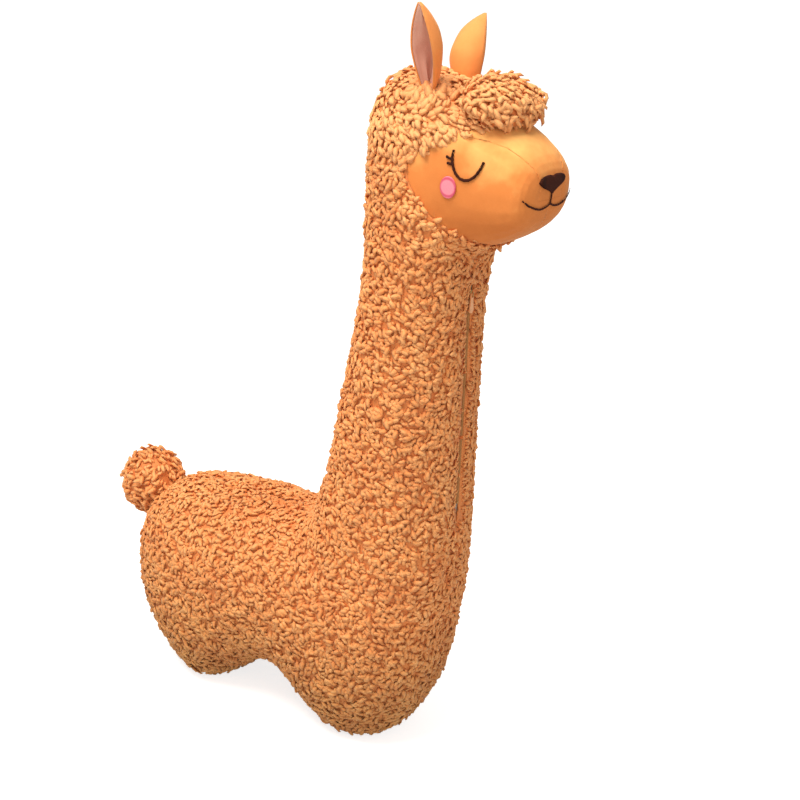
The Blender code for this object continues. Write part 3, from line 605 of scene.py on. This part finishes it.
def pileTree():
    tree = bpy.data.node_groups.new("pile", "GeometryNodeTree")
    sockets = {}
    face = tree.interface
    for name, kind in (
        ("Cloth", "Geometry"), ("Locks", "Collection"), ("Spacing", "Float"), ("Density", "Float"),
        ("Size spread", "Float"), ("Tilt", "Float"), ("Swirl", "Float"), ("Seed", "Int"),
        ("Finish", "Material"),
    ):
        sockets[name] = face.new_socket(name, in_out="INPUT", socket_type=f"NodeSocket{kind}").identifier
    face.new_socket("Pile", in_out="OUTPUT", socket_type="NodeSocketGeometry")
    given = tree.nodes.new("NodeGroupInput").outputs
    result = tree.nodes.new("NodeGroupOutput").inputs

    def node(kind, **settings):
        made = tree.nodes.new(kind)
        for name, value in settings.items():
            setattr(made, name, value)
        return made

    def join(source, target):
        tree.links.new(source, target)

    def named(name, kind="FLOAT"):
        made = node("GeometryNodeInputNamedAttribute", data_type=kind)
        made.inputs["Name"].default_value = name
        return made.outputs["Attribute"]

    def randomValue(low, high, shift, kind="FLOAT"):
        made = node("FunctionNodeRandomValue", data_type=kind)
        small = [s for s in made.inputs if s.name == "Min" and s.enabled][0]
        large = [s for s in made.inputs if s.name == "Max" and s.enabled][0]
        small.default_value = low
        large.default_value = high
        seedSum = node("ShaderNodeMath", operation="ADD")
        seedSum.inputs[1].default_value = shift
        join(given["Seed"], seedSum.inputs[0])
        join(seedSum.outputs[0], made.inputs["Seed"])
        return [s for s in made.outputs if s.enabled][0]

    def maths(operation, first, second):
        made = node("ShaderNodeMath", operation=operation)
        for index, item in enumerate((first, second)):
            if isinstance(item, (int, float)):
                made.inputs[index].default_value = item
            else:
                join(item, made.inputs[index])
        return made.outputs[0]

    scatter = node("GeometryNodeDistributePointsOnFaces", distribute_method="POISSON")
    join(given["Cloth"], scatter.inputs["Mesh"])
    join(given["Spacing"], scatter.inputs["Distance Min"])
    join(given["Density"], scatter.inputs["Density Max"])
    join(named("covered"), scatter.inputs["Density Factor"])
    join(given["Seed"], scatter.inputs["Seed"])
    lying = node("FunctionNodeAlignRotationToVector", axis="X", pivot_axis="Z")
    join(scatter.outputs["Rotation"], lying.inputs["Rotation"])
    join(named("lay", "FLOAT_VECTOR"), lying.inputs["Vector"])
    swirl = node("ShaderNodeTexNoise")
    join(given["Swirl"], swirl.inputs["Scale"])
    drift = maths("MULTIPLY", maths("SUBTRACT", swirl.outputs["Fac"], 0.5), pileTurn["drift"])
    stray = maths("MULTIPLY", randomValue(-1.0, 1.0, 3), pileTurn["stray"])
    swing = maths("MULTIPLY", named("wild"), maths("ADD", drift, stray))
    lean = maths("MULTIPLY", given["Tilt"], randomValue(-1.0, 1.0, 7))
    turn = node("ShaderNodeCombineXYZ")
    join(lean, turn.inputs["Y"])
    join(swing, turn.inputs["Z"])
    spin = node("FunctionNodeEulerToRotation")
    join(turn.outputs[0], spin.inputs[0])
    laid = node("FunctionNodeRotateRotation", rotation_space="LOCAL")
    join(lying.outputs[0], laid.inputs["Rotation"])
    join(spin.outputs[0], laid.inputs["Rotate By"])
    size = maths("ADD", 1.0, maths("MULTIPLY", given["Size spread"], randomValue(-1.0, 1.0, 11)))
    size = maths("MULTIPLY", size, named("reach"))
    locks = node("GeometryNodeCollectionInfo")
    locks.inputs["Separate Children"].default_value = True
    locks.inputs["Reset Children"].default_value = True
    join(given["Locks"], locks.inputs["Collection"])
    placed = node("GeometryNodeInstanceOnPoints")
    join(scatter.outputs["Points"], placed.inputs["Points"])
    join(locks.outputs[0], placed.inputs["Instance"])
    placed.inputs["Pick Instance"].default_value = True
    join(randomValue(0, 2, 17, "INT"), placed.inputs["Instance Index"])
    join(laid.outputs[0], placed.inputs["Rotation"])
    join(size, placed.inputs["Scale"])
    toned = node("GeometryNodeStoreNamedAttribute", data_type="FLOAT", domain="INSTANCE")
    toned.inputs["Name"].default_value = "tone"
    join(placed.outputs[0], toned.inputs["Geometry"])
    join(randomValue(0.0, 1.0, 23), toned.inputs["Value"])
    both = node("GeometryNodeJoinGeometry")
    real = node("GeometryNodeRealizeInstances")
    finish = node("GeometryNodeSetMaterial")
    join(toned.outputs[0], both.inputs[0])
    join(given["Cloth"], both.inputs[0])
    join(both.outputs[0], real.inputs[0])
    join(real.outputs[0], finish.inputs["Geometry"])
    join(given["Finish"], finish.inputs["Material"])
    join(finish.outputs[0], result[0])
    return tree, sockets


pile, pileSockets = pileTree()


def grownPile(obj, locks, look, seed):
    modifier = obj.modifiers.new("pile", "NODES")
    modifier.node_group = pile
    for name, value in (
        ("Locks", locks), ("Spacing", look["spacing"]), ("Density", look["density"]),
        ("Size spread", look["sizeSpread"]), ("Tilt", look["tilt"]), ("Swirl", look["swirl"]),
        ("Seed", seed), ("Finish", fleece),
    ):
        modifier[pileSockets[name]] = value
    applied(obj)
    for extra in ("covered", "wild", "reach", "lay"):
        if extra in obj.data.attributes:
            obj.data.attributes.remove(obj.data.attributes[extra])
    shade(obj.data)
    points = pointsOf(obj.data)
    points[:, 2] = np.maximum(points[:, 2], 0.0)  # the pile under the soles lies pressed flat
    setPoints(obj.data, points)


def layFields(mesh, covered, lay, wild, reach):
    # where the pile would part on a top, it turns every way instead
    along = lay / np.maximum(np.linalg.norm(lay, axis=1), 1e-6)[:, None]
    parting = steps(np.abs((normalsOf(mesh) * along).sum(1)), 0.72, 0.95)
    wild = wild + parting * np.maximum(1.2 * math.pi - wild, 0)
    addAttribute(mesh, "covered", "FLOAT", covered)
    addAttribute(mesh, "lay", "FLOAT_VECTOR", lay)
    addAttribute(mesh, "wild", "FLOAT", wild)
    addAttribute(mesh, "reach", "FLOAT", reach)


coatLook = {
    "outside": 0.0030, "hood": (0.78, 0.88), "zipBare": 0.0060, "besideZip": (0.012, 0.024),
    "pastZip": 0.010, "neckFront": 0.15, "collar": (0.022, 0.046), "solePress": (0.0, 0.02), "clothTip": 0.45,
}


def makeCoat(side, seed):
    node = f"fleece_{side}"
    obj = refined(addObject(f"coat{side.title()}", meshFrom(node, copyOfNode(node))), 1)
    mesh = obj.data
    points = pointsOf(mesh)
    covered = (stuffingDepth(points) > coatLook["outside"]).astype(float)
    points = flowed(points, flow)
    setPoints(mesh, points)
    x, y, z = points.T
    hood = steps(z, *coatLook["hood"])
    past = coatLook["pastZip"]
    nearZip = 1 - steps(zipDistance(points), *coatLook["besideZip"])
    nearZip *= (x > coatLook["neckFront"]) & (z > zipLow.z - past - pullerHang) & (z < zipHigh.z + past)
    covered[(nearZip > 0) & (zipDistance(points) < coatLook["zipBare"])] = 0
    roots = np.array([earFrame(earShape[name]).translation[:] for name in ("right", "left")])
    gaps = points[:, None, :] - roots[None]
    nearest = np.argmin(np.linalg.norm(gaps, axis=2), axis=1)
    gap = gaps[np.arange(len(points)), nearest]
    collar = 1 - steps(np.linalg.norm(gap, axis=1), *coatLook["collar"])  # pile that climbs round the ears
    lay = np.zeros_like(points)
    lay[:, 2] = -1
    lay[:, 0] = -0.2 + 1.2 * hood
    lay[:, 1] += nearZip * np.sign(y) * 4
    lay = lay * (1 - collar[:, None]) - collar[:, None] * gap / 0.03
    lay[:, 2] += collar * 1.6
    wild = np.pi * (1 - 0.72 * hood) * (1 - 0.85 * nearZip) * (1 - 0.6 * collar)
    reach = 1 + 0.18 * hood - 0.30 * nearZip + 0.35 * collar
    reach *= 0.55 + 0.45 * steps(z, *coatLook["solePress"])
    layFields(mesh, covered, lay, wild, reach)
    # the cloth between the locks takes a place part way up the painted shade ramp
    addAttribute(mesh, "tip", "FLOAT", np.full(len(points), coatLook["clothTip"]))
    grownPile(obj, locks, lockLook, seed)
    finished(obj, "toy", "fleece", node)
    return obj


locks = lockSet("lock", lockLook)
coatRight = makeCoat("right", 11)
coatLeft = makeCoat("left", 12)
print("coat", len(coatRight.data.polygons), len(coatLeft.data.polygons))


# forelock and tail: stuffed pads with long pile

tuftLook = dict(
    lockLook, length=0.0158, width=0.0062, height=0.0048, bend=0.0048, spacing=0.0042, tilt=0.45, swirl=30.0,
)
tufts = lockSet("tuft", tuftLook)
forelockLook = {
    "layTo": (0.7, -0.2, -0.1), "spread": 0.4, "wild": 1.7, "reach": 0.95, "sunk": 0.0045, "hidden": 0.0070,
}
tailLook = {
    "layTo": (-0.5, 0.0, -1.0), "spread": 0.2, "wild": 3.1, "reach": 0.84, "sunk": -0.0010, "hidden": 0.0070,
}


def makePad(node, name, seed, look):
    # the cloth is sunk by the depth of the pile, which is shorter on the underside
    obj = refined(addObject(name, meshFrom(node, copyOfNode(node))), 1)
    points = pointsOf(obj.data)
    low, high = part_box(node)
    middle = np.array((low + high) / 2)
    covered = (stuffingDepth(points) >= look["hidden"]).astype(float)
    lay = np.tile(np.array(look["layTo"], float), (len(points), 1))
    lay += look["spread"] * (points - middle) / np.array(high - low)
    normals = normalsOf(obj.data)
    setPoints(obj.data, points - normals * look["sunk"])
    reach = look["reach"] * (1 - 0.35 * steps(-normals[:, 2], 0.1, 0.7))
    layFields(obj.data, covered, lay, np.full(len(points), look["wild"]), reach)
    grownPile(obj, tufts, tuftLook, seed)
    finished(obj, "toy", "fleece", node)


makePad("forelock", "forelockPad", 21, forelockLook)
makePad("tail", "tailPad", 22, tailLook)
print("forelock and tail")


# face panels

faceLook = {
    "smoothing": 60, "puff": 0.0002, "crease": 0.0007, "creaseWidth": 0.0045, "creaseFoot": (0.828, 0.842),
}


def makePanel(node, name, *beside):
    # a velour panel, rounded by the filling, that dips to the seam with the panels beside it
    obj = refined(addObject(name, meshFrom(node, copyOfNode(node))), 3, "SIMPLE")
    start = pointsOf(obj.data)
    trees = [nearTree(other) for other in beside]
    apart = np.array([min(tree.find_nearest(Vector(p))[3] for tree in trees) for p in start])
    dip = np.clip(1 - apart / faceLook["creaseWidth"], 0, 1) ** 2
    dip *= steps(start[:, 2], *faceLook["creaseFoot"])
    work = bmesh.new()
    work.from_mesh(obj.data)
    bends = [max(edge.calc_face_angle(3.0) for edge in vert.link_edges) for vert in work.verts]
    free = np.array(bends) < 0.8  # the panel's sharp rims stay where they are
    work.free()
    edges = edgesOf(obj.data)
    setPoints(obj.data, relaxed(flowed(start, flow), edges, faceLook["smoothing"], free=free[:, None]))
    push = (faceLook["puff"] - faceLook["crease"] * dip)[:, None]
    setPoints(obj.data, pointsOf(obj.data) + normalsOf(obj.data) * push)
    obj.data.materials.append(velour)
    shade(obj.data)
    obj.data.set_sharp_from_angle(angle=math.radians(50))
    finished(obj, "toy", "velour", node)


makePanel("face_right", "faceRight", "face_bridge")
makePanel("face_left", "faceLeft", "face_bridge")
makePanel("face_bridge", "faceBridge", "face_right", "face_left")
print("face panels")


# ears

coatTrees = [nearTree("fleece_right"), nearTree("fleece_left")]


def makeEar(name, node, pose, near, far, widthShare, lobes, finish, slot):
    # one cloth layer between two distances from the fold's middle surface
    out = earFrame(pose).to_3x3() @ Vector((0, 1, 0))
    work = bmesh.new()
    rings = []
    levels, points = 34, 19
    for step in range(levels + 1):
        height = step / levels
        stand = earFrame(pose, height)
        reach = -earShape["sunk"] + (earShape["length"] + earShape["sunk"]) * height
        bend = math.radians(earShape["fold"]) * (1 - pose["unfold"] * height) / 2
        half = leafHalf(height, pose["width"])
        radius = max(half, 0.0016) / bend
        middle = half / bend + pose["curl"] * math.sin(math.pi * height)
        ring = []
        for inner, order in ((False, range(points)), (True, reversed(range(points)))):
            for index in order:
                share = 2 * index / (points - 1) - 1
                angle = bend * share * widthShare
                crumple = noise.noise(Vector((share * 1.6, height * 5.0, pose["side"] * 3.0)))
                crumple *= earShape["crumple"]
                rim = 1 - abs(share) ** 6
                distance = radius + (near - lobes * math.sin(math.pi * abs(share)) if inner else far)
                distance = max(distance + crumple * rim * math.sin(math.pi * height), 0.0006)
                inward = radius - math.cos(angle) * distance - middle
                place = stand @ Vector((math.sin(angle) * distance, reach, inward))
                for tree in coatTrees:
                    hit = tree.ray_cast(place + out * 0.2, -out, 0.2)[0]
                    if hit:
                        place = hit + out * 0.0003
                ring.append(work.verts.new(place))
        rings.append(ring)
    for lower, upper in zip(rings, rings[1:]):
        for index in range(len(lower)):
            after = (index + 1) % len(lower)
            work.faces.new((lower[index], lower[after], upper[after], upper[index]))
    for ring, turned in ((rings[0], True), (rings[-1], False)):
        work.faces.new(list(reversed(ring)) if turned else ring)
    bmesh.ops.recalc_face_normals(work, faces=work.faces)
    obj = addObject(name, meshFrom(name, work))
    obj.data.materials.append(finish)
    finished(obj, "toy", slot, node)


for side in ("right", "left"):
    pose, gap = earShape[side], earShape["gap"]
    past = gap + earShape["cloth"]
    title = side.title()
    makeEar(f"ear{title}Back", f"ear_{side}_back", pose, gap, past, 1.0, 0.0, earVelour, "ear_velour")
    makeEar(
        f"ear{title}Lining", f"ear_{side}_lining", pose, -past, -gap, 0.97, earShape["lobes"], earLining,
        "ear_lining",
    )
print("ears")


# embroidery

threadLift = 0.0011  # the stitches stand a little proud of the velour
noseNotch = {"fill": 0.0016, "width": 0.0070}


def shallowNotch(points):
    # the stitches fill the heart's notch up a little
    middle = points.mean(0)
    ways = np.linalg.svd(points - middle, full_matrices=False)[2]
    across = ways[0]
    upwards = np.cross(across, ways[2])
    upwards *= np.sign(upwards[2])
    aside = (points - middle) @ across
    above = (points - middle) @ upwards
    fill = noseNotch["fill"] * np.exp(-((aside / noseNotch["width"]) ** 2))
    fill *= steps(above, -0.004, 0.004)
    return points + fill[:, None] * upwards


def makeStitched(node, name, finish, slot, voxel, swell):
    obj = evenNet(addObject(name, meshFrom(node, copyOfNode(node))), voxel)
    points = pointsOf(obj.data)
    skin = [nearTree(panel) for panel in ("face_right", "face_left", "face_bridge")]
    lifts = []
    for point in points:
        near = min((tree.find_nearest(Vector(point)) for tree in skin), key=lambda hit: hit[3])
        lifts.append(near[1])
    lifts = relaxed(np.array(lifts), edgesOf(obj.data), 10)
    if node == "nose":
        points = shallowNotch(points)
    setPoints(obj.data, flowed(points, flow) + lifts * threadLift + normalsOf(obj.data) * swell)
    away = np.linalg.norm(points - points.mean(0), axis=1)
    addAttribute(obj.data, "rim", "FLOAT", away / away.max())
    obj.data.materials.append(finish)
    shade(obj.data)
    finished(obj, "toy", slot, node)


makeStitched("eye_right", "eyeRight", darkThread, "dark_thread", 0.0006, 0.0004)
makeStitched("eye_left", "eyeLeft", darkThread, "dark_thread", 0.0006, 0.0004)
makeStitched("nose", "nose", darkThread, "dark_thread", 0.0005, 0.0012)
makeStitched("mouth", "mouthLine", darkThread, "dark_thread", 0.0006, 0.0)
makeStitched("cheek_right", "cheekRight", pinkThread, "pink_thread", 0.0005, 0.0002)
makeStitched("cheek_left", "cheekLeft", pinkThread, "pink_thread", 0.0005, 0.0002)
print("embroidery")


# zip

zipLook = {
    "tapeDeep": colour(156, 100, 44), "tapeLight": colour(194, 134, 70), "weaveScale": 1500.0,
    "metal": colour(206, 170, 110), "paint": colour(246, 172, 112), "paintLight": colour(244, 182, 128),
}


def tapeMaterial():
    made = Shader("zipTape")
    weave = made.noise(zipLook["weaveScale"], 2.0)
    woven = made.ramp(weave, [(0.35, zipLook["tapeDeep"]), (0.7, zipLook["tapeLight"])])
    return made.finish(woven, made.bump(weave, 0.0003), None, Roughness=0.8, Sheen_Weight=0.05)


def metalMaterial():
    made = Shader("zipMetal")
    wear = made.noise(700.0, 3.0)
    return made.finish(zipLook["metal"], made.bump(wear, 0.00005), made.value(wear, 0.22, 0.42), Metallic=1.0)


def paintMaterial():
    made = Shader("pullerEnamel")
    ripple = made.noise(160.0, 2.0)
    coated = made.mixed(made.value(ripple, 0.0, 0.4), zipLook["paint"], zipLook["paintLight"])
    return made.finish(coated, made.bump(ripple, 0.00008), None, Roughness=0.35, Coat_Weight=0.3)


tape, metal, paint = tapeMaterial(), metalMaterial(), paintMaterial()
for node, finish in (
    ("zip_side_left", tape), ("zip_side_right", tape), ("zip_slider", metal), ("zip_puller", paint),
    ("zip_bottom_stop", metal), ("zip_top_stop_left", metal), ("zip_top_stop_right", metal),
):
    data = frame["nodes"][node].data
    data.materials.clear()
    data.materials.append(finish)
print("zip")


# filling, seen only where the coat opens

fillingLook = {
    "deep": colour(214, 206, 192), "light": colour(238, 232, 222), "fluffScale": 240.0, "gap": 0.0004,
}


def fillingMaterial():
    made = Shader("filling")
    fluff = made.noise(fillingLook["fluffScale"], 4.0)
    tufted = made.ramp(fluff, [(0.3, fillingLook["deep"]), (0.7, fillingLook["light"])])
    return made.finish(tufted, made.bump(fluff, 0.002), None, Roughness=0.95)


def makeFilling():
    # the filling keeps its distance behind the cloth as the cloth moves
    obj = refined(addObject("filling", meshFrom("filling", copyOfNode("stuffing"))), 1, "SIMPLE")
    setPoints(obj.data, flowed(pointsOf(obj.data), flow))
    setPoints(obj.data, pointsOf(obj.data) - normalsOf(obj.data) * fillingLook["gap"])
    obj.data.materials.append(fillingMaterial())
    finished(obj, "toy", "filling", "stuffing")


makeFilling()
print("filling")


# floor, light and camera

roomLook = {
    "floorDeep": colour(214, 213, 212), "floorLight": colour(220, 219, 218), "floorGlow": 0.75,
    "floorSize": 14, "skyTint": (1.0, 0.97, 0.93, 1), "skyStrength": 0.44, "lampTint": (1.0, 0.96, 0.90),
    "keyPower": 146, "fillPower": 22,
}


def makeFloor():
    work = bmesh.new()
    bmesh.ops.create_grid(work, x_segments=1, y_segments=1, size=roomLook["floorSize"])
    floor = addObject("floor", meshFrom("floor", work, False))
    made = Shader("paleFloor")
    grain = made.noise(6.0, 2.0)
    pale = made.ramp(grain, [(0.3, roomLook["floorDeep"]), (0.7, roomLook["floorLight"])])
    made.finish(pale, None, None, Roughness=0.95, Specular_IOR_Level=0.0)
    rays = made.add("ShaderNodeLightPath")
    glow = made.math("MULTIPLY", rays.outputs["Is Camera Ray"], roomLook["floorGlow"])
    made.surface.inputs["Emission Color"].default_value = (1, 1, 1, 1)
    made.link(glow, made.surface.inputs["Emission Strength"])
    floor.data.materials.append(made.material)


def makeWorld():
    world = bpy.data.worlds.new("paleRoom")
    scene.world = world
    world.use_nodes = True
    nodes, links = world.node_tree.nodes, world.node_tree.links
    sky = nodes["Background"]
    sky.inputs["Color"].default_value = roomLook["skyTint"]
    sky.inputs["Strength"].default_value = roomLook["skyStrength"]
    back = nodes.new("ShaderNodeBackground")
    back.inputs["Color"].default_value = (1, 1, 1, 1)
    back.inputs["Strength"].default_value = 1.0
    rays = nodes.new("ShaderNodeLightPath")
    seen = nodes.new("ShaderNodeMath")
    seen.operation = "MAXIMUM"
    links.new(rays.outputs["Is Camera Ray"], seen.inputs[0])
    links.new(rays.outputs["Is Glossy Ray"], seen.inputs[1])
    mix = nodes.new("ShaderNodeMixShader")
    links.new(seen.outputs[0], mix.inputs[0])
    links.new(sky.outputs[0], mix.inputs[1])
    links.new(back.outputs[0], mix.inputs[2])
    links.new(mix.outputs[0], nodes["World Output"].inputs["Surface"])


def makeLamp(name, place, aim, size, power):
    data = bpy.data.lights.new(name, "AREA")
    data.shape = "DISK"
    data.size = size
    data.energy = power
    data.color = roomLook["lampTint"]
    lamp = bpy.data.objects.new(name, data)
    scene.collection.objects.link(lamp)
    lamp.location = place
    lamp.rotation_euler = (Vector(aim) - Vector(place)).to_track_quat("-Z", "Y").to_euler()


cameraLook = {
    "place": (1.1204, -1.9269, 1.3898), "forward": (-0.42548, 0.81955, -0.38383),
    "right": (0.88752, 0.46077, 0.0), "roll": 6.483, "lens": 80.568,
}


def makeCamera():
    data = bpy.data.cameras.new("camera")
    data.lens = cameraLook["lens"]
    data.sensor_width = 36
    data.clip_end = 60
    camera = bpy.data.objects.new("camera", data)
    scene.collection.objects.link(camera)
    ahead = Vector(cameraLook["forward"]).normalized()
    right = Vector(cameraLook["right"]).normalized()
    above = right.cross(ahead)
    roll = math.radians(cameraLook["roll"])
    across = right * math.cos(roll) + above * math.sin(roll)
    upwards = above * math.cos(roll) - right * math.sin(roll)
    turn = Matrix((across, upwards, -ahead)).transposed().to_4x4()
    camera.matrix_world = Matrix.Translation(cameraLook["place"]) @ turn
    scene.camera = camera


makeFloor()
makeWorld()
makeLamp("key", (-0.5, -1.3, 3.6), (0, 0, 0.45), 2.2, roomLook["keyPower"])
makeLamp("fill", (2.2, -2.2, 1.7), (0, 0, 0.55), 2.4, roomLook["fillPower"])
makeCamera()
scene.view_settings.view_transform = "Standard"
